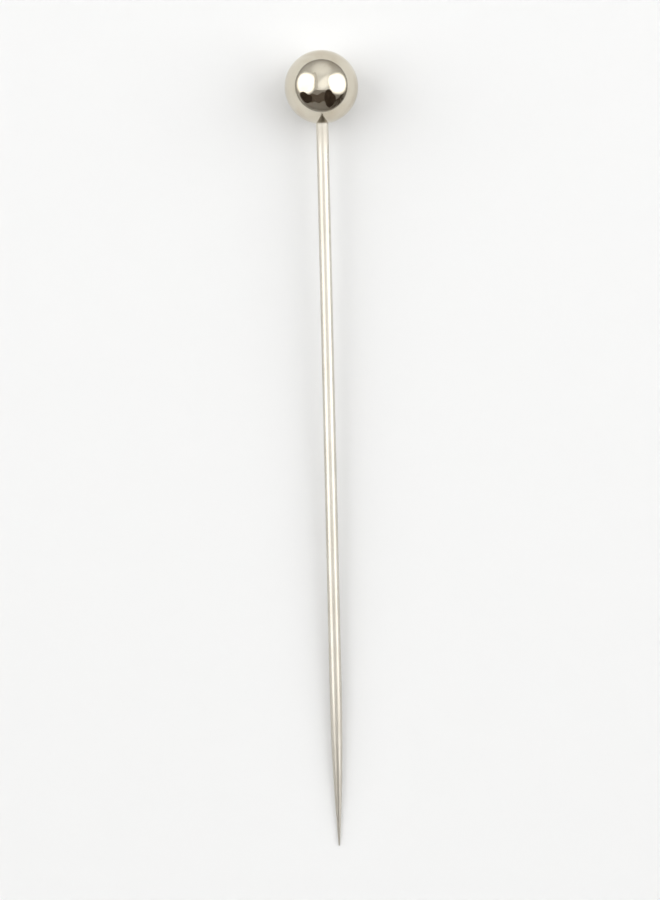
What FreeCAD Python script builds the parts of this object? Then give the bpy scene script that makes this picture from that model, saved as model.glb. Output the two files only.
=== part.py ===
import FreeCAD, Part
import math
import os

# Hijab pin: a polished metal ball pressed on to a straight, ground-pointed steel wire.
# Millimetres. Each piece is drawn as a profile in a half plane, with its radius along X and
# its place along the pin along Y, from the tip of the point (0) to the crown of the head,
# and is then turned about the pin's own axis. At the end both pieces are laid down together
# as the pin comes to rest on a flat surface, with the head towards +Y.

# Driving dimensions
OVERALL_LENGTH = 38.0     # crown of the head to the tip of the point
HEAD_DIAMETER = 3.5
WIRE_DIAMETER = 0.58
POINT_LENGTH = 7.5        # ground part of the wire, from its full diameter to the tip
TIP_RADIUS = 0.03         # the tip is very slightly rounded, so it parts threads and cuts none
BORE_DEPTH = 2.0          # parallel wall of the blind hole, from the underside of the head
BORE_CLEARANCE = 0.01     # radial gap round the wire in its hole, filled by the bond
MOUTH_RADIUS = 0.06       # broken edge round the mouth of the hole
DRILL_POINT_ANGLE = 118.0  # degrees, the cone that the drill leaves at the bottom of the hole
LEAD_IN = 0.02            # how much smaller in radius the wire's upper end is than the wire
END_CHAMFER = 0.08        # cropped upper end of the wire, broken at 45 degrees

# Sizes that follow from them
head_radius = HEAD_DIAMETER / 2
wire_radius = WIRE_DIAMETER / 2
head_centre = OVERALL_LENGTH - head_radius
head_underside = OVERALL_LENGTH - HEAD_DIAMETER
bore_radius = wire_radius + BORE_CLEARANCE
bore_top = head_underside + BORE_DEPTH
drill_slope = math.tan(math.radians(DRILL_POINT_ANGLE / 2))

# Centre of the small round that breaks the mouth of the hole: it touches the ball from inside
# and the wall of the hole from behind.
mouth_centre_radius = bore_radius + MOUTH_RADIUS
mouth_drop = math.sqrt((head_radius - MOUTH_RADIUS) ** 2 - mouth_centre_radius ** 2)
mouth_level = head_centre - mouth_drop

# The point is an ogive: one long arc that leaves the wire without a corner and runs into the
# round of the tip. Both meet in the direction that ogive_angle gives, measured from the radius.
ogive_radius = (
    ((POINT_LENGTH - TIP_RADIUS) ** 2 + wire_radius ** 2 - TIP_RADIUS ** 2)
    / (2 * (wire_radius - TIP_RADIUS))
)
ogive_offset = ogive_radius - wire_radius
ogive_angle = math.asin((POINT_LENGTH - TIP_RADIUS) / (ogive_radius - TIP_RADIUS))


def at(radius, along):
    """A point of a profile."""
    return FreeCAD.Vector(radius, along, 0)


def on_arc(centre_radius, centre_along, arc_radius, angle):
    """The point of an arc that lies in a direction, in radians from the +X side."""
    return at(centre_radius + arc_radius * math.cos(angle), centre_along + arc_radius * math.sin(angle))


def line(start, end):
    """A straight edge."""
    return Part.LineSegment(start, end).toShape()


def arc(centre_radius, centre_along, arc_radius, start_angle, end_angle):
    """A round edge between two directions."""
    middle_angle = (start_angle + end_angle) / 2
    start, middle, end = [
        on_arc(centre_radius, centre_along, arc_radius, angle)
        for angle in (start_angle, middle_angle, end_angle)
    ]
    return Part.Arc(start, middle, end).toShape()


def turned(edges):
    """The solid that a closed profile makes when it is turned about the pin's axis."""
    profile = Part.Face(Part.Wire(edges))
    return profile.revolve(at(0, 0), FreeCAD.Vector(0, 1, 0), 360)


def ball_head():
    """Solid ball with a blind drilled hole, whose mouth has a broken edge."""
    mouth_angle = -math.atan2(mouth_drop, mouth_centre_radius)
    crown = at(0, OVERALL_LENGTH)
    ball_edge = on_arc(0, head_centre, head_radius, mouth_angle)
    mouth_edge = at(bore_radius, mouth_level)
    wall_end = at(bore_radius, bore_top)
    drill_point = at(0, bore_top + bore_radius / drill_slope)
    outside = arc(0, head_centre, head_radius, math.pi / 2, mouth_angle)
    mouth_bisector = (mouth_angle - math.pi) / 2
    mouth_middle = on_arc(mouth_centre_radius, mouth_level, MOUTH_RADIUS, mouth_bisector)
    mouth = Part.Arc(ball_edge, mouth_middle, mouth_edge).toShape()
    return turned(
        [
            outside,
            mouth,
            line(mouth_edge, wall_end),
            line(wall_end, drill_point),
            line(drill_point, crown),
        ]
    )


def pin_shaft():
    """Drawn wire, slightly smaller and cropped where it sits in the head, ground to a point."""
    seated_radius = wire_radius - LEAD_IN
    end_radius = seated_radius - END_CHAMFER
    end_level = bore_top + (bore_radius - end_radius) / drill_slope
    end_centre = at(0, end_level)
    end_edge = at(end_radius, end_level)
    chamfer_foot = at(seated_radius, end_level - END_CHAMFER)
    lead_foot = at(wire_radius, mouth_level)
    point_start = at(wire_radius, POINT_LENGTH)
    tip = at(0, 0)
    return turned(
        [
            line(end_centre, end_edge),
            line(end_edge, chamfer_foot),
            line(chamfer_foot, lead_foot),
            line(lead_foot, point_start),
            arc(-ogive_offset, POINT_LENGTH, ogive_radius, 0, -ogive_angle),
            arc(0, TIP_RADIUS, TIP_RADIUS, -ogive_angle, -math.pi / 2),
            line(tip, end_centre),
        ]
    )


def rest_tilt():
    """Angle of the pin's axis when it lies on its head and its point.

    The point touches the surface on its long ogive, unless the pin lies steeper than the
    ogive's end: then it touches on the round of the tip.
    """
    reach = math.hypot(head_centre - POINT_LENGTH, ogive_offset)
    lean = math.atan2(ogive_offset, head_centre - POINT_LENGTH)
    on_ogive = lean - math.asin((ogive_radius - head_radius) / reach)
    on_tip = math.asin((head_radius - TIP_RADIUS) / (head_centre - TIP_RADIUS))
    return on_ogive if on_ogive < ogive_angle else on_tip


def laid_down(shape):
    """The shape as it lies, with the middle of the pin's length over the origin."""
    tilt = rest_tilt()
    crown_reach = head_centre * math.cos(tilt) + head_radius
    tip_reach = TIP_RADIUS * math.cos(tilt) - TIP_RADIUS
    lift = head_radius - head_centre * math.sin(tilt)
    place = FreeCAD.Placement(
        FreeCAD.Vector(0, -(crown_reach + tip_reach) / 2, lift),
        FreeCAD.Rotation(FreeCAD.Vector(1, 0, 0), math.degrees(tilt)),
    )
    return shape.transformed(place.toMatrix(), True)


PIECES = {
    "ball_head": ball_head,
    "pin_shaft": pin_shaft,
}

os.makedirs("parts", exist_ok=True)
for name, make in PIECES.items():
    piece = laid_down(make())
    piece.exportStep(f"parts/{name}.step")
    print(name, "volume", round(piece.Volume, 3), "mm3, closed", piece.isValid())
print("axis tilt", round(math.degrees(rest_tilt()), 4), "degrees")
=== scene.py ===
"""Hijab pin: a bright plated ball on a slender plated wire with a long ground point.

The pin lies on a white sheet on its head and its point and is seen from straight above. The
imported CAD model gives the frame. Sizes are in millimetres until a mesh is laid down in the
frame, which is in metres.
"""

import logging
import math
from dataclasses import dataclass, field
from enum import Enum
from typing import Any, Mapping, Optional, Sequence, Union

import bmesh
import bpy
from mathutils import Matrix, Vector


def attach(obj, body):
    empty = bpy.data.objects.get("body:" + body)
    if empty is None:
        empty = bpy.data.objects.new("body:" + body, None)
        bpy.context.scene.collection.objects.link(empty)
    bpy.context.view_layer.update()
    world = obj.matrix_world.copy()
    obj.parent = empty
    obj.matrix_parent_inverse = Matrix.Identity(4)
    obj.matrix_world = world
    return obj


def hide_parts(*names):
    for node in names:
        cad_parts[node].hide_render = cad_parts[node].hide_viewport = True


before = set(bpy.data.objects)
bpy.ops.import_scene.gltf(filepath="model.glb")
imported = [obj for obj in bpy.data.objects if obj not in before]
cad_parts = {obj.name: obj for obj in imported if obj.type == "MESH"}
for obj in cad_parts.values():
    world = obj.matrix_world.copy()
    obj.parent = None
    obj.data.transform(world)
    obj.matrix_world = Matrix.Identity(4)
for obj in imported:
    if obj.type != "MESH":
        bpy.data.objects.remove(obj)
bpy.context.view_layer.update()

log = logging.getLogger("hijab_pin")

METRES_PER_MM = 0.001

# Points of a turned mesh closer than this are one point, in millimetres.
SAME_PLACE_MM = 1e-5
# So many corners tell a face from all others of its mesh.
TELLING_CORNERS = 3
# Scale of the noise that draws fine lines, where a place is already counted in lines.
LINE_NOISE_SCALE = 0.5
# Where each round of rounding cuts the sides of a flag's outline.
CORNER_CUTS = (0.25, 0.75)


class Slot(Enum):
    """The record's material slots."""

    HEAD = "plated_head"
    WIRE = "plated_wire"


class Pattern(Enum):
    """What the sizes of a surface pattern are measured from."""

    PIN_AXIS = "along the pin, from the tip"
    BALL_CENTRE = "from the middle of the ball"


# Colours and nodes


def linear(hex_colour: str) -> tuple[float, float, float, float]:
    """Turn an sRGB hex colour into the linear colour that Blender's sockets take.

    Args:
        hex_colour: Six hex digits after a hash sign.

    Returns:
        Linear red, green, blue and an alpha of 1.
    """
    levels = [int(hex_colour[i : i + 2], 16) / 255 for i in (1, 3, 5)]
    light = [v / 12.92 if v <= 0.04045 else ((v + 0.055) / 1.055) ** 2.4 for v in levels]
    return (light[0], light[1], light[2], 1.0)


def add_node(
    tree: bpy.types.NodeTree,
    kind: str,
    inputs: Optional[Mapping[Any, Any]] = None,
    **settings: Any,
) -> bpy.types.Node:
    """Add a node, with its settings, its input values and its links.

    Args:
        tree: The node tree that gets the node.
        kind: Blender's name for the kind of node.
        inputs: Values or output sockets by the name or number of the input.
        **settings: The node's own properties.

    Returns:
        The new node.
    """
    node = tree.nodes.new(kind)
    for name, value in settings.items():
        setattr(node, name, value)
    for key, value in (inputs or {}).items():
        if isinstance(value, bpy.types.NodeSocket):
            tree.links.new(value, node.inputs[key])
        else:
            node.inputs[key].default_value = value
    return node


def empty_material(name: str) -> bpy.types.Material:
    """Make a material with no nodes in it yet.

    Args:
        name: The finish's name.

    Returns:
        The material.
    """
    material = bpy.data.materials.new(name)
    material.use_nodes = True
    material.node_tree.nodes.clear()
    return material


def counted_in_lines(line_mm: float, run_mm: float) -> tuple[float, float, float]:
    """Scale a place in millimetres so that it is counted in lines of a pattern.

    Args:
        line_mm: Width of a line, with its gap.
        run_mm: Length of a line, which runs along Y.

    Returns:
        The scale for a Mapping node.
    """
    return (1 / line_mm, 1 / run_mm, 1 / line_mm)


# Sizes


@dataclass(frozen=True)
class PinSizes:
    """The pin's driving sizes in millimetres, and what follows from them.

    Places along the pin run from the tip of the point (0) to the crown of the head.
    """

    overall_length: float = 38.0
    head_diameter: float = 3.5
    wire_diameter: float = 0.58
    point_length: float = 7.5
    tip_radius: float = 0.03
    bore_depth: float = 2.0
    bore_clearance: float = 0.01
    mouth_radius: float = 0.06
    drill_point_angle: float = 118.0
    lead_in: float = 0.02
    end_chamfer: float = 0.08

    @property
    def head_radius(self) -> float:
        """Radius of the ball."""
        return self.head_diameter / 2

    @property
    def wire_radius(self) -> float:
        """Radius of the wire."""
        return self.wire_diameter / 2

    @property
    def head_centre(self) -> float:
        """Place of the ball's centre along the pin."""
        return self.overall_length - self.head_radius

    @property
    def bore_radius(self) -> float:
        """Radius of the hole in the ball."""
        return self.wire_radius + self.bore_clearance

    @property
    def bore_top(self) -> float:
        """Where the parallel wall of the hole ends."""
        return self.overall_length - self.head_diameter + self.bore_depth

    @property
    def drill_slope(self) -> float:
        """Radius gained per millimetre down the cone at the bottom of the hole."""
        return math.tan(math.radians(self.drill_point_angle / 2))

    @property
    def mouth_centre_radius(self) -> float:
        """Distance from the axis to the centre of the round that breaks the hole's mouth."""
        return self.bore_radius + self.mouth_radius

    @property
    def mouth_level(self) -> float:
        """Place of that round's centre along the pin."""
        reach = self.head_radius - self.mouth_radius
        return self.head_centre - math.sqrt(reach**2 - self.mouth_centre_radius**2)

    @property
    def ogive_radius(self) -> float:
        """Find the radius of the long arc of the point.

        Returns:
            The radius at which the arc is tangent to the wire and to the round of the tip.
        """
        reach = (self.point_length - self.tip_radius) ** 2
        squares = reach + self.wire_radius**2 - self.tip_radius**2
        return squares / (2 * (self.wire_radius - self.tip_radius))

    @property
    def ogive_offset(self) -> float:
        """Distance from the axis to the centre of that arc, on its far side."""
        return self.ogive_radius - self.wire_radius

    @property
    def ogive_angle(self) -> float:
        """Angle that the arc turns through from the wire to the tip."""
        reach = self.point_length - self.tip_radius
        return math.asin(reach / (self.ogive_radius - self.tip_radius))

    @property
    def tilt(self) -> float:
        """Find the angle of the pin's axis when it lies on its head and its point.

        Returns:
            The angle in radians, from the ogive or, where the pin lies steeper, the tip.
        """
        run = self.head_centre - self.point_length
        reach = math.hypot(run, self.ogive_offset)
        on_ogive = math.atan2(self.ogive_offset, run) - math.asin(
            (self.ogive_radius - self.head_radius) / reach
        )
        on_tip = math.asin(
            (self.head_radius - self.tip_radius) / (self.head_centre - self.tip_radius)
        )
        return on_ogive if on_ogive < self.ogive_angle else on_tip

    @property
    def laid_down(self) -> Matrix:
        """Lay the pin down as it comes to rest.

        Returns:
            The matrix from the pin's own millimetres to the frame, in metres.
        """
        crown_reach = self.head_centre * math.cos(self.tilt) + self.head_radius
        tip_reach = self.tip_radius * math.cos(self.tilt) - self.tip_radius
        lift = self.head_radius - self.head_centre * math.sin(self.tilt)
        shift = Matrix.Translation((0, -(crown_reach + tip_reach) / 2, lift))
        return Matrix.Scale(METRES_PER_MM, 4) @ shift @ Matrix.Rotation(self.tilt, 4, "X")

    def in_frame(self, along: float) -> Vector:
        """Where a place on the pin's axis lies in the frame, in metres."""
        return self.laid_down @ Vector((0, along, 0))


# Turned shapes


def rank(part: Union[bmesh.types.BMEdge, bmesh.types.BMFace], points: int) -> int:
    """Number an edge or a face by its corners, to list those of a mesh alike on every run.

    Args:
        part: An edge or a face whose corners are numbered.
        points: How many points its mesh has.

    Returns:
        A number that no other part of its kind has.
    """
    number = 0
    for corner in sorted(vert.index for vert in part.verts)[:TELLING_CORNERS]:
        number = number * points + corner
    return number


@dataclass
class Lathe:
    """Draws a profile as one chain of edges and turns it about the pin's axis.

    The profile lies in a half plane, with its radius along X and its place along the pin
    along Y.
    """

    start: tuple[float, float]
    mesh: bmesh.types.BMesh = field(default_factory=bmesh.new)
    end: Optional[bmesh.types.BMVert] = None

    def __post_init__(self) -> None:
        """Set the first point of the profile."""
        self.end = self.mesh.verts.new((*self.start, 0))

    def line(self, radius: float, along: float, spans: int = 1) -> None:
        """Draw a straight stretch on from the end of the profile.

        Args:
            radius: Radius of its far end.
            along: Place of its far end along the pin.
            spans: How many equal edges it has.
        """
        step = (Vector((radius, along, 0)) - self.end.co) / spans
        for _ in range(spans):
            made = bmesh.ops.extrude_vert_indiv(self.mesh, verts=[self.end])
            self.end = made["verts"][0]
            bmesh.ops.translate(self.mesh, verts=[self.end], vec=step)

    def arc(self, centre: tuple[float, float], angle: float, spans: int) -> None:
        """Draw an arc on from the end of the profile.

        Args:
            centre: Radius and place along the pin of the arc's centre.
            angle: Angle that it turns through, in radians, anticlockwise.
            spans: How many equal edges it has.
        """
        made = bmesh.ops.spin(
            self.mesh,
            geom=[self.end],
            cent=(*centre, 0),
            axis=(0, 0, 1),
            angle=angle,
            steps=spans,
            use_duplicate=False,
        )
        ends = [part for part in made["geom_last"] if isinstance(part, bmesh.types.BMVert)]
        self.end = ends[0]

    def turn(self, name: str, sides: int, place: Matrix, crease: float) -> bpy.types.Object:
        """Turn the profile into a closed solid and lay it down in the frame.

        Args:
            name: Name of the new piece.
            sides: How many faces go round the axis.
            place: Takes the pin's own millimetres to the frame.
            crease: Angle in radians above which an edge shows as a corner.

        Returns:
            The piece, at the origin, with its place in its mesh.
        """
        mesh = self.mesh
        bmesh.ops.spin(
            mesh,
            geom=mesh.verts[:] + mesh.edges[:],
            cent=(0, 0, 0),
            axis=(0, 1, 0),
            angle=math.tau,
            steps=sides,
            use_merge=True,
            use_duplicate=False,
        )
        bmesh.ops.remove_doubles(mesh, verts=mesh.verts[:], dist=SAME_PLACE_MM)
        bmesh.ops.recalc_face_normals(mesh, faces=mesh.faces[:])
        # The operators above leave edges and faces in another order on each run.
        mesh.verts.index_update()
        points = len(mesh.verts)
        for parts in (mesh.edges, mesh.faces):
            parts.sort(key=lambda part: rank(part, points))
        for face in mesh.faces:
            face.smooth = True
        for edge in mesh.edges:
            edge.smooth = edge.calc_face_angle(0.0) < crease
        bmesh.ops.transform(mesh, matrix=place, verts=mesh.verts[:])
        data = bpy.data.meshes.new(name)
        mesh.to_mesh(data)
        mesh.free()
        piece = bpy.data.objects.new(name, data)
        bpy.context.scene.collection.objects.link(piece)
        return piece


# Finishes


@dataclass(frozen=True)
class PinPatternSpace:
    """Turns Object coordinates into the pin's own millimetres, for patterns on it."""

    sizes: PinSizes
    measured: Pattern

    def add_to(self, tree: bpy.types.NodeTree) -> bpy.types.NodeSocket:
        """Add the nodes that turn the coordinates.

        Args:
            tree: The material's node tree.

        Returns:
            A vector in millimetres, with Y along the pin.
        """
        along = 0.0 if self.measured is Pattern.PIN_AXIS else self.sizes.head_centre
        here = add_node(tree, "ShaderNodeTexCoord")
        turned = add_node(
            tree,
            "ShaderNodeMapping",
            {
                "Vector": here.outputs["Object"],
                "Location": self.sizes.in_frame(along),
                "Rotation": (self.sizes.tilt, 0, 0),
                "Scale": (METRES_PER_MM,) * 3,
            },
            vector_type="TEXTURE",
        )
        return turned.outputs["Vector"]


@dataclass(frozen=True)
class BrightNickelOnBall:
    """Bright nickel on a polished steel ball, plated in a tumbling barrel.

    It gives the eye a warm silver mirror. Close to, the plate ripples very slightly, has
    faint warmer clouds where it has been handled, and fine hairline scratches at all angles.
    """

    space: PinPatternSpace
    name: str = "bright_nickel_on_polished_ball"
    plate: str = "#d7d0c0"
    handled_plate: str = "#cbc1ae"
    cloud_mm: float = 1.1
    cloud_levels: tuple[float, float] = (0.42, 0.72)
    smear_mm: float = 0.35
    ripple_mm: float = 0.28
    ripple_depth_mm: float = 0.0004
    # Real hairlines are some 5 microns wide; they are drawn wider so that they show.
    hairline_mm: float = 0.03
    hairline_run_mm: float = 1.4
    hairline_depth_mm: float = 0.0004
    # The noise's level where a hairline starts to show and where it is whole.
    hairline_levels: tuple[float, float] = (0.70, 0.80)
    hairline_dulling: float = 0.5
    hairline_directions: tuple[tuple[float, float, float], ...] = (
        (0.3, 0.5, 0.2),
        (1.3, -0.4, 0.9),
        (-0.7, 1.1, 2.2),
    )
    dull_levels: tuple[float, float] = (0.3, 1.0)
    roughness: tuple[float, float] = (0.06, 0.12)

    def hairlines(
        self, tree: bpy.types.NodeTree, place: bpy.types.NodeSocket
    ) -> bpy.types.NodeSocket:
        """Add scratches in a few directions.

        Args:
            tree: The material's node tree.
            place: Vector in millimetres.

        Returns:
            A level from 0 on sound plate to 1 in a scratch.
        """
        levels = []
        for turn in self.hairline_directions:
            spread = add_node(
                tree,
                "ShaderNodeMapping",
                {
                    "Vector": place,
                    "Rotation": turn,
                    "Scale": counted_in_lines(self.hairline_mm, self.hairline_run_mm),
                },
            )
            grain = add_node(
                tree,
                "ShaderNodeTexNoise",
                {
                    "Vector": spread.outputs[0],
                    "Scale": LINE_NOISE_SCALE,
                    "Detail": 1.0,
                    "Roughness": 0.4,
                },
            )
            thin = add_node(
                tree,
                "ShaderNodeMapRange",
                {
                    "Value": grain.outputs[0],
                    "From Min": self.hairline_levels[0],
                    "From Max": self.hairline_levels[1],
                },
            )
            levels.append(thin.outputs[0])
        total = levels[0]
        for level in levels[1:]:
            joined = add_node(tree, "ShaderNodeMath", {0: total, 1: level}, operation="MAXIMUM")
            total = joined.outputs[0]
        return total

    def material(self) -> bpy.types.Material:
        """Make the material.

        Returns:
            The material, with its shader.
        """
        material = empty_material(self.name)
        tree = material.node_tree
        place = self.space.add_to(tree)
        clouds = add_node(
            tree,
            "ShaderNodeTexNoise",
            {"Vector": place, "Scale": 1 / self.cloud_mm, "Detail": 3.0, "Distortion": 0.4},
        )
        cloudiness = add_node(
            tree,
            "ShaderNodeMapRange",
            {
                "Value": clouds.outputs[0],
                "From Min": self.cloud_levels[0],
                "From Max": self.cloud_levels[1],
            },
            interpolation_type="SMOOTHSTEP",
        )
        colour = add_node(
            tree,
            "ShaderNodeMix",
            {
                0: cloudiness.outputs[0],
                6: linear(self.plate),
                7: linear(self.handled_plate),
            },
            data_type="RGBA",
        )
        smears = add_node(
            tree,
            "ShaderNodeTexNoise",
            {"Vector": place, "Scale": 1 / self.smear_mm, "Detail": 4.0, "Roughness": 0.6},
        )
        scratches = self.hairlines(tree, place)
        dulled = add_node(
            tree,
            "ShaderNodeMath",
            {0: scratches, 1: self.hairline_dulling, 2: smears.outputs[0]},
            operation="MULTIPLY_ADD",
        )
        roughness = add_node(
            tree,
            "ShaderNodeMapRange",
            {
                "Value": dulled.outputs[0],
                "From Min": self.dull_levels[0],
                "From Max": self.dull_levels[1],
                "To Min": self.roughness[0],
                "To Max": self.roughness[1],
            },
        )
        ripple = add_node(
            tree,
            "ShaderNodeTexNoise",
            {"Vector": place, "Scale": 1 / self.ripple_mm, "Detail": 1.0},
        )
        rippled = add_node(
            tree,
            "ShaderNodeBump",
            {
                "Height": ripple.outputs[0],
                "Strength": 1.0,
                "Distance": self.ripple_depth_mm * METRES_PER_MM,
            },
        )
        scratched = add_node(
            tree,
            "ShaderNodeBump",
            {
                "Height": scratches,
                "Strength": 1.0,
                "Distance": self.hairline_depth_mm * METRES_PER_MM,
                "Normal": rippled.outputs[0],
            },
            invert=True,
        )
        shader = add_node(
            tree,
            "ShaderNodeBsdfPrincipled",
            {
                "Base Color": colour.outputs[2],
                "Metallic": 1.0,
                "Roughness": roughness.outputs[0],
                "Normal": scratched.outputs[0],
            },
        )
        add_node(tree, "ShaderNodeOutputMaterial", {"Surface": shader.outputs[0]})
        return material


@dataclass(frozen=True)
class NickelOnDrawnWire:
    """Nickel plate on hard-drawn steel wire, whose point is ground and then plated over.

    It gives the eye a bright streak along the wire, softened across it by fine draw lines.
    On the point the wheel's marks take their place: finer, much shorter and a little aslant.
    Close under the head, where polishing doesn't reach, the plate stays satin.
    """

    space: PinPatternSpace
    name: str = "nickel_on_drawn_wire"
    plate: str = "#d0cbc1"
    worn_plate: str = "#beb8ac"
    wear_levels: tuple[float, float] = (0.18, 0.46)
    cloud_mm: float = 2.4
    # Real draw lines are 10 to 20 microns apart; they are drawn coarser so that they show.
    draw_line_mm: float = 0.05
    draw_line_run_mm: float = 9.0
    draw_line_depth_mm: float = 0.0013
    # Marks of a 400 grit wheel are 30 microns apart; they are drawn coarser too.
    wheel_mark_mm: float = 0.045
    wheel_mark_run_mm: float = 1.2
    wheel_mark_depth_mm: float = 0.0010
    wheel_slant: float = 0.09
    grind_run_out_mm: float = 1.6
    # Roughness of the bottoms and the crests of the lines, and what the wheel adds to it.
    roughness: tuple[float, float] = (0.22, 0.35)
    line_levels: tuple[float, float] = (0.2, 0.8)
    ground_roughness: float = 0.05
    # Distances from the mouth of the hole at which the satin is whole and has run out.
    satin_mm: tuple[float, float] = (0.4, 1.7)
    satin_roughness: float = 0.24
    # Draw lines spread the light round the wire more than along it.
    spread_round_wire: float = 0.6

    def round_the_wire(self, tree: bpy.types.NodeTree) -> bpy.types.NodeSocket:
        """Add the direction that runs round the wire at each place on it.

        Args:
            tree: The material's node tree.

        Returns:
            A vector in the frame.
        """
        tip, further_up = self.space.sizes.in_frame(0), self.space.sizes.in_frame(1)
        here = add_node(tree, "ShaderNodeTexCoord")
        offset = add_node(
            tree,
            "ShaderNodeVectorMath",
            {0: here.outputs["Object"], 1: tip},
            operation="SUBTRACT",
        )
        around = add_node(
            tree,
            "ShaderNodeVectorMath",
            {0: offset.outputs[0], 1: (further_up - tip).normalized()},
            operation="CROSS_PRODUCT",
        )
        even = add_node(
            tree, "ShaderNodeVectorMath", {0: around.outputs[0]}, operation="NORMALIZE"
        )
        return even.outputs[0]

    def material(self) -> bpy.types.Material:
        """Make the material.

        Returns:
            The material, with its shader.
        """
        material = empty_material(self.name)
        tree = material.node_tree
        place = self.space.add_to(tree)
        apart = add_node(tree, "ShaderNodeSeparateXYZ", {"Vector": place})
        ground = add_node(
            tree,
            "ShaderNodeMapRange",
            {
                "Value": apart.outputs["Y"],
                "From Min": self.space.sizes.point_length,
                "From Max": self.space.sizes.point_length - self.grind_run_out_mm,
            },
            interpolation_type="SMOOTHSTEP",
        )
        drawn = add_node(
            tree,
            "ShaderNodeMapping",
            {
                "Vector": place,
                "Scale": counted_in_lines(self.draw_line_mm, self.draw_line_run_mm),
            },
        )
        lines = add_node(
            tree,
            "ShaderNodeTexNoise",
            {
                "Vector": drawn.outputs[0],
                "Scale": LINE_NOISE_SCALE,
                "Detail": 2.0,
                "Roughness": 0.55,
            },
        )
        slanted = add_node(
            tree,
            "ShaderNodeMapping",
            {
                "Vector": place,
                "Rotation": (self.wheel_slant, 0, self.wheel_slant),
                "Scale": counted_in_lines(self.wheel_mark_mm, self.wheel_mark_run_mm),
            },
        )
        marks = add_node(
            tree,
            "ShaderNodeTexNoise",
            {
                "Vector": slanted.outputs[0],
                "Scale": LINE_NOISE_SCALE,
                "Detail": 2.0,
                "Roughness": 0.6,
            },
        )
        height = add_node(
            tree,
            "ShaderNodeMix",
            {0: ground.outputs[0], 2: lines.outputs[0], 3: marks.outputs[0]},
            data_type="FLOAT",
        )
        clouds = add_node(
            tree,
            "ShaderNodeTexNoise",
            {"Vector": place, "Scale": 1 / self.cloud_mm, "Detail": 3.0},
        )
        wear = add_node(
            tree,
            "ShaderNodeMath",
            {0: clouds.outputs[0], 1: height.outputs[0]},
            operation="MULTIPLY",
        )
        wear_level = add_node(
            tree,
            "ShaderNodeMapRange",
            {
                "Value": wear.outputs[0],
                "From Min": self.wear_levels[0],
                "From Max": self.wear_levels[1],
            },
        )
        colour = add_node(
            tree,
            "ShaderNodeMix",
            {0: wear_level.outputs[0], 6: linear(self.plate), 7: linear(self.worn_plate)},
            data_type="RGBA",
        )
        roughness = add_node(
            tree,
            "ShaderNodeMapRange",
            {
                "Value": height.outputs[0],
                "From Min": self.line_levels[0],
                "From Max": self.line_levels[1],
                "To Min": self.roughness[0],
                "To Max": self.roughness[1],
            },
        )
        satin = add_node(
            tree,
            "ShaderNodeMapRange",
            {
                "Value": apart.outputs["Y"],
                "From Min": self.space.sizes.mouth_level - self.satin_mm[1],
                "From Max": self.space.sizes.mouth_level - self.satin_mm[0],
                "To Max": self.satin_roughness,
            },
            interpolation_type="SMOOTHSTEP",
        )
        duller = add_node(
            tree,
            "ShaderNodeMath",
            {0: ground.outputs[0], 1: self.ground_roughness, 2: satin.outputs[0]},
            operation="MULTIPLY_ADD",
        )
        softened = add_node(
            tree, "ShaderNodeMath", {0: roughness.outputs[0], 1: duller.outputs[0]}, operation="ADD"
        )
        drawn_height = add_node(
            tree,
            "ShaderNodeMath",
            {0: lines.outputs[0], 1: self.draw_line_depth_mm * METRES_PER_MM},
            operation="MULTIPLY",
        )
        ground_height = add_node(
            tree,
            "ShaderNodeMath",
            {0: marks.outputs[0], 1: self.wheel_mark_depth_mm * METRES_PER_MM},
            operation="MULTIPLY",
        )
        relief = add_node(
            tree,
            "ShaderNodeMix",
            {0: ground.outputs[0], 2: drawn_height.outputs[0], 3: ground_height.outputs[0]},
            data_type="FLOAT",
        )
        grooved = add_node(
            tree,
            "ShaderNodeBump",
            {"Height": relief.outputs[0], "Strength": 1.0, "Distance": 1.0},
        )
        shader = add_node(
            tree,
            "ShaderNodeBsdfPrincipled",
            {
                "Base Color": colour.outputs[2],
                "Metallic": 1.0,
                "Roughness": softened.outputs[0],
                "Anisotropic": self.spread_round_wire,
                "Tangent": self.round_the_wire(tree),
                "Normal": grooved.outputs[0],
            },
        )
        add_node(tree, "ShaderNodeOutputMaterial", {"Surface": shader.outputs[0]})
        return material


@dataclass(frozen=True)
class MattSheet:
    """Matt coated paper, as the floor and the flags are covered with.

    It gives the eye an even tone with no gloss of its own.
    """

    name: str
    colour: str
    roughness: float = 0.9
    specular: float = 0.2

    def material(self) -> bpy.types.Material:
        """Make the material.

        Returns:
            The material, with its shader.
        """
        material = empty_material(self.name)
        tree = material.node_tree
        shader = add_node(
            tree,
            "ShaderNodeBsdfPrincipled",
            {
                "Base Color": linear(self.colour),
                "Roughness": self.roughness,
                "Specular IOR Level": self.specular,
            },
        )
        add_node(tree, "ShaderNodeOutputMaterial", {"Surface": shader.outputs[0]})
        return material


# The pin's two pieces


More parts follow.
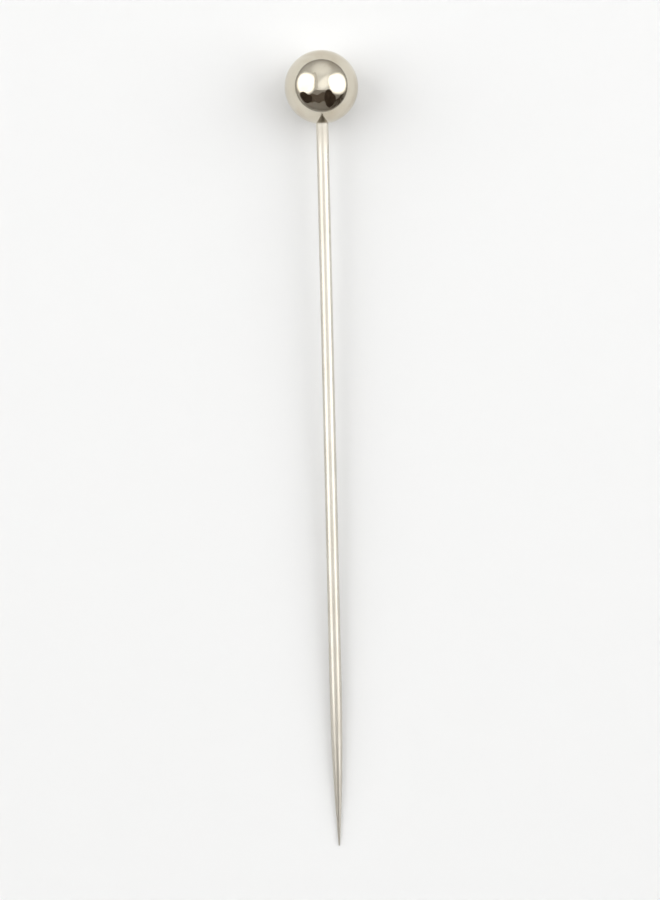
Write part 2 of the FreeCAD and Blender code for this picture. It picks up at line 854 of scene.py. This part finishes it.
@dataclass
class BallHead:
    """The ball, with the blind drilled hole that the wire sits in."""

    sizes: PinSizes
    name: str = "plated_ball"
    node: str = "ball_head"
    sides: int = 128
    ball_spans: int = 84
    mouth_spans: int = 6
    wall_spans: int = 4
    cone_spans: int = 2
    crease: float = math.radians(25)

    def build(self) -> bpy.types.Object:
        """Turn the ball: outside from the crown, round the mouth and up the hole.

        Returns:
            The ball.
        """
        s = self.sizes
        drop = s.head_centre - s.mouth_level
        mouth_angle = math.atan2(drop, s.mouth_centre_radius)
        lathe = Lathe(start=(0, s.overall_length))
        lathe.arc((0, s.head_centre), -(math.pi / 2 + mouth_angle), self.ball_spans)
        lathe.arc((s.mouth_centre_radius, s.mouth_level), mouth_angle - math.pi, self.mouth_spans)
        lathe.line(s.bore_radius, s.bore_top, self.wall_spans)
        lathe.line(0, s.bore_top + s.bore_radius / s.drill_slope, self.cone_spans)
        return lathe.turn(self.name, self.sides, s.laid_down, self.crease)

    def dress(self, piece: bpy.types.Object) -> None:
        """Give the ball its finish and its place in the frame's table.

        Args:
            piece: The turned ball.
        """
        space = PinPatternSpace(self.sizes, Pattern.BALL_CENTRE)
        piece.data.materials.append(BrightNickelOnBall(space).material())
        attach(piece, "root")
        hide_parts(self.node)


@dataclass
class PinShaft:
    """The wire, cropped where it sits in the ball and ground to a long ogive point."""

    sizes: PinSizes
    name: str = "plated_wire_shaft"
    node: str = "pin_shaft"
    sides: int = 72
    shank_spans: int = 60
    ogive_spans: int = 48
    tip_spans: int = 8
    seat_spans: int = 4
    end_spans: int = 2
    crease: float = math.radians(25)

    def build(self) -> bpy.types.Object:
        """Turn the wire: cropped end, chamfer, lead-in, shank, ogive and round tip.

        Returns:
            The wire.
        """
        s = self.sizes
        seated_radius = s.wire_radius - s.lead_in
        end_radius = seated_radius - s.end_chamfer
        end_level = s.bore_top + (s.bore_radius - end_radius) / s.drill_slope
        lathe = Lathe(start=(0, end_level))
        lathe.line(end_radius, end_level, self.end_spans)
        lathe.line(seated_radius, end_level - s.end_chamfer)
        lathe.line(s.wire_radius, s.mouth_level, self.seat_spans)
        lathe.line(s.wire_radius, s.point_length, self.shank_spans)
        lathe.arc((-s.ogive_offset, s.point_length), -s.ogive_angle, self.ogive_spans)
        lathe.arc((0, s.tip_radius), s.ogive_angle - math.pi / 2, self.tip_spans)
        return lathe.turn(self.name, self.sides, s.laid_down, self.crease)

    def dress(self, piece: bpy.types.Object) -> None:
        """Give the wire its finish and its place in the frame's table.

        Args:
            piece: The turned wire.
        """
        space = PinPatternSpace(self.sizes, Pattern.PIN_AXIS)
        piece.data.materials.append(NickelOnDrawnWire(space).material())
        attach(piece, "root")
        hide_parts(self.node)


# Studio


def mirrored_place(across: float, up: float, distance: float) -> Vector:
    """Find what a place on the ball mirrors, when the ball is seen from straight above.

    Args:
        across: Place on the ball's picture to the right of its middle, in ball radii.
        up: Place on the ball's picture above its middle, in ball radii.
        distance: How far away the mirrored thing is, in metres.

    Returns:
        Where that thing stands, measured from the pin.
    """
    polar = 2 * math.asin(math.hypot(across, up))
    azimuth = math.atan2(up, across)
    level = math.sin(polar)
    towards = (level * math.cos(azimuth), level * math.sin(azimuth), math.cos(polar))
    return distance * Vector(towards)


@dataclass(frozen=True)
class Card:
    """A flat or bent sheet of the studio, such as the floor or a flag."""

    name: str
    finish: MattSheet
    outline: Sequence[Sequence[float]]
    seen_by_camera: bool = True

    def build(self) -> bpy.types.Object:
        """Make the sheet from its corners.

        Returns:
            The sheet, which isn't a piece of the pin.
        """
        mesh = bmesh.new()
        corners = [mesh.verts.new(corner) for corner in self.outline]
        bmesh.ops.contextual_create(mesh, geom=corners)
        data = bpy.data.meshes.new(self.name)
        mesh.to_mesh(data)
        mesh.free()
        sheet = bpy.data.objects.new(self.name, data)
        sheet.data.materials.append(self.finish.material())
        sheet.visible_camera = self.seen_by_camera
        bpy.context.scene.collection.objects.link(sheet)
        return sheet


@dataclass(frozen=True)
class Softbox:
    """A lamp behind a rounded diffuser, turned towards the pin.

    Its place is given by where its mirror image stands on the ball. One side of the diffuser
    is level and the other slopes. Lengths are in metres.
    """

    name: str
    across: float
    up: float
    level_side: float
    sloping_side: float
    radiance: float
    distance: float = 0.5
    rim: float = 0.0
    rim_setback: float = 0.01
    rim_corners: int = 40
    rim_cloth: str = "#dddcd8"
    even_part: float = 0.6
    roundness: float = 2.6

    @property
    def place(self) -> Matrix:
        """Find the place of the lamp.

        Returns:
            The matrix that stands the lamp there, facing the pin.
        """
        middle = mirrored_place(self.across, self.up, self.distance)
        facing = (-middle).to_track_quat("-Z", "Y").to_matrix().to_4x4()
        return Matrix.Translation(middle) @ facing

    def soften_edges(self, lamp: bpy.types.Light) -> None:
        """Let the light fall off towards the edges of the diffuser, as a real one does.

        Args:
            lamp: The lamp behind the diffuser.
        """
        lamp.use_nodes = True
        tree = lamp.node_tree
        tree.nodes.clear()
        here = add_node(tree, "ShaderNodeNewGeometry")
        apart = add_node(tree, "ShaderNodeSeparateXYZ", {"Vector": here.outputs["Parametric"]})
        powers = []
        for axis in ("X", "Y"):
            # From 0 to 1 across the lamp, turned to -1 to 1.
            off = add_node(
                tree,
                "ShaderNodeMath",
                {0: apart.outputs[axis], 1: 2.0, 2: -1.0},
                operation="MULTIPLY_ADD",
            )
            far = add_node(tree, "ShaderNodeMath", {0: off.outputs[0]}, operation="ABSOLUTE")
            power = add_node(
                tree, "ShaderNodeMath", {0: far.outputs[0], 1: self.roundness}, operation="POWER"
            )
            powers.append(power.outputs[0])
        total = add_node(tree, "ShaderNodeMath", {0: powers[0], 1: powers[1]}, operation="ADD")
        level = add_node(
            tree,
            "ShaderNodeMapRange",
            {
                "Value": total.outputs[0],
                "From Min": 1.0,
                "From Max": self.even_part**self.roundness,
            },
            interpolation_type="SMOOTHSTEP",
        )
        light = add_node(tree, "ShaderNodeEmission", {"Strength": level.outputs[0]})
        add_node(tree, "ShaderNodeOutputLight", {"Surface": light.outputs[0]})

    def build(self) -> bpy.types.Object:
        """Make the lamp and the rim behind it.

        Returns:
            The lamp's holder.
        """
        lamp = bpy.data.lights.new(self.name, "AREA")
        lamp.shape = "RECTANGLE"
        lamp.size, lamp.size_y = self.level_side, self.sloping_side
        lamp.energy = self.radiance * math.pi * self.level_side * self.sloping_side
        self.soften_edges(lamp)
        holder = bpy.data.objects.new(self.name, lamp)
        holder.matrix_world = self.place
        holder.visible_camera = False
        bpy.context.scene.collection.objects.link(holder)
        if self.rim:
            self.build_rim()
        return holder

    def build_rim(self) -> bpy.types.Object:
        """Stretch the pale cloth that shows round the diffuser, behind the lamp.

        Returns:
            The cloth.
        """
        reach_level = self.level_side / 2 + self.rim
        reach_sloping = self.sloping_side / 2 + self.rim
        corners = []
        for step in range(self.rim_corners):
            turn = math.tau * step / self.rim_corners
            x, y = (
                math.copysign(abs(v) ** (2 / self.roundness), v)
                for v in (math.cos(turn), math.sin(turn))
            )
            corner = Vector((reach_level * x, reach_sloping * y, self.rim_setback))
            corners.append(self.place @ corner)
        cloth = MattSheet("pale_rim_cloth", self.rim_cloth)
        return Card(self.name + "_rim", cloth, corners, seen_by_camera=False).build()


@dataclass(frozen=True)
class Flag:
    """A card that only the metal mirrors, drawn by its outline on the ball."""

    name: str
    finish: MattSheet
    outline: Sequence[tuple[float, float]]
    distance: float
    rounding: int = 3

    def build(self) -> bpy.types.Object:
        """Hang the card, with its corners rounded.

        Returns:
            The card.
        """
        outline = [Vector(corner) for corner in self.outline]
        for _ in range(self.rounding):
            pairs = zip(outline, outline[1:] + outline[:1])
            outline = [start.lerp(end, part) for start, end in pairs for part in CORNER_CUTS]
        corners = [mirrored_place(across, up, self.distance) for across, up in outline]
        return Card(self.name, self.finish, corners, seen_by_camera=False).build()


@dataclass
class Studio:
    """White sheet, two softboxes, two weaker panels, flags, a pale room and the camera.

    Lengths are in metres where their names give no unit. The picture is as high as the
    frame height where it cuts the top of the ball.
    """

    sizes: PinSizes
    floor_size: float = 6.0
    lens_mm: float = 135.0
    sensor_mm: float = 36.0
    clip: tuple[float, float] = (0.01, 20.0)
    frame_height: float = 0.0427
    lean_deg: float = 1.36
    zenith: str = "#f7f7f6"
    wall: str = "#bcbbb9"
    wall_level: float = 0.12
    skirting: str = "#8e8c89"
    softboxes: tuple[Softbox, ...] = (
        Softbox("softbox_left", -0.42, 0.085, 0.64, 0.67, 1.68, rim=0.012),
        Softbox("softbox_right", 0.44, 0.065, 0.62, 0.65, 1.68, rim=0.004),
        Softbox("ceiling_panel", 0.12, 0.10, 0.28, 0.56, 0.46, distance=0.44, even_part=0.2),
        Softbox(
            "back_panel", 0.02, 0.46, 1.0, 0.85, 0.26, distance=0.8, even_part=0.0, roundness=2.0
        ),
    )

    def build_floor(self) -> bpy.types.Object:
        """Lay the white sheet that the pin lies on.

        Returns:
            The sheet.
        """
        half = self.floor_size / 2
        outline = ((-half, -half, 0), (half, -half, 0), (half, half, 0), (-half, half, 0))
        return Card("floor", MattSheet("matt_white_sheet", "#f3f4f5"), outline).build()

    def build_flags(self) -> None:
        """Hang the flags that give the metal its dark, grey and pale reflections."""
        black = MattSheet("matt_black_flag", "#3c3128")
        brown = MattSheet("dark_brown_flag", "#5f554a")
        dun = MattSheet("dun_flag", "#7d7268")
        grey = MattSheet("grey_flag", "#c6c1bd")
        white = MattSheet("white_flag", "#efece8")
        left = (
            (-0.62, -0.15),
            (-0.50, -0.10),
            (-0.38, -0.21),
            (-0.26, -0.25),
            (-0.27, -0.42),
            (-0.42, -0.46),
            (-0.56, -0.34),
        )
        middle = (
            (0.08, -0.26),
            (0.12, -0.10),
            (0.25, -0.09),
            (0.31, -0.20),
            (0.42, -0.30),
            (0.37, -0.44),
            (0.26, -0.58),
            (0.15, -0.58),
            (0.08, -0.40),
        )
        between = (
            (-0.36, -0.22),
            (-0.24, -0.20),
            (-0.12, -0.27),
            (-0.02, -0.20),
            (0.12, -0.16),
            (0.15, -0.46),
            (0.03, -0.40),
            (-0.07, -0.50),
            (-0.20, -0.41),
            (-0.32, -0.48),
        )
        right = (
            (0.16, -0.50),
            (0.42, -0.40),
            (0.60, -0.24),
            (0.66, 0.08),
            (0.70, 0.10),
            (0.69, -0.18),
            (0.54, -0.46),
            (0.22, -0.67),
        )
        behind = (
            (-0.58, -0.14),
            (-0.38, -0.26),
            (-0.22, -0.08),
            (-0.08, -0.14),
            (0.06, -0.13),
            (0.26, -0.12),
            (0.36, -0.24),
            (0.62, -0.18),
            (0.54, -0.45),
            (0.30, -0.64),
            (0.0, -0.68),
            (-0.34, -0.58),
            (-0.52, -0.46),
        )
        strip = (
            (-0.24, 0.38),
            (-0.10, 0.34),
            (-0.09, 0.05),
            (-0.10, -0.12),
            (-0.24, -0.12),
        )
        flags = (
            Flag("flag_strip", white, strip, 0.60, rounding=2),
            Flag("flag_left", black, left, 0.40),
            Flag("flag_middle", black, middle, 0.40),
            Flag("flag_between", dun, between, 0.90),
            Flag("flag_right", brown, right, 0.70),
            Flag("flag_behind", grey, behind, 1.60),
        )
        for flag in flags:
            flag.build()

    def build_surroundings(self) -> None:
        """Make the pale room: bright overhead, greyer walls and a darker skirting."""
        world = bpy.data.worlds.new("pale_room")
        world.use_nodes = True
        tree = world.node_tree
        tree.nodes.clear()
        here = add_node(tree, "ShaderNodeTexCoord")
        apart = add_node(tree, "ShaderNodeSeparateXYZ", {"Vector": here.outputs["Generated"]})
        ramp = add_node(tree, "ShaderNodeValToRGB", {"Fac": apart.outputs["Z"]})
        stops = ramp.color_ramp.elements
        stops[0].position, stops[0].color = 0.0, linear(self.skirting)
        stops[1].position, stops[1].color = 1.0, linear(self.zenith)
        wall = stops.new(self.wall_level)
        wall.color = linear(self.wall)
        light = add_node(
            tree, "ShaderNodeBackground", {"Color": ramp.outputs["Color"], "Strength": 1.0}
        )
        add_node(tree, "ShaderNodeOutputWorld", {"Surface": light.outputs[0]})
        bpy.context.scene.world = world

    def build_camera(self) -> bpy.types.Object:
        """Hang the camera straight above the pin, with the pin's slight lean in the picture.

        Returns:
            The camera's holder.
        """
        camera = bpy.data.cameras.new("overhead_camera")
        camera.lens = self.lens_mm
        camera.sensor_width = self.sensor_mm
        camera.clip_start, camera.clip_end = self.clip
        holder = bpy.data.objects.new("overhead_camera", camera)
        height = self.frame_height * self.lens_mm / self.sensor_mm
        holder.location = (0, 0, height + self.sizes.head_radius * METRES_PER_MM)
        holder.rotation_euler = (0, 0, -math.radians(self.lean_deg))
        bpy.context.scene.collection.objects.link(holder)
        bpy.context.scene.camera = holder
        return holder

    def build(self) -> None:
        """Set up the whole studio."""
        self.build_floor()
        self.build_flags()
        self.build_surroundings()
        for softbox in self.softboxes:
            softbox.build()
        self.build_camera()
        bpy.context.scene.view_settings.view_transform = "Standard"


def main() -> None:
    """Build and dress the pin's pieces and set up the studio, reporting each piece."""
    logging.basicConfig(level=logging.INFO, format="%(name)s: %(message)s")
    sizes = PinSizes()
    for part in (BallHead(sizes), PinShaft(sizes)):
        piece = part.build()
        part.dress(piece)
        log.info("%s stands for %s, %d faces", piece.name, part.node, len(piece.data.polygons))
    Studio(sizes).build()
    log.info("studio ready")


if __name__ == "__main__":
    main()
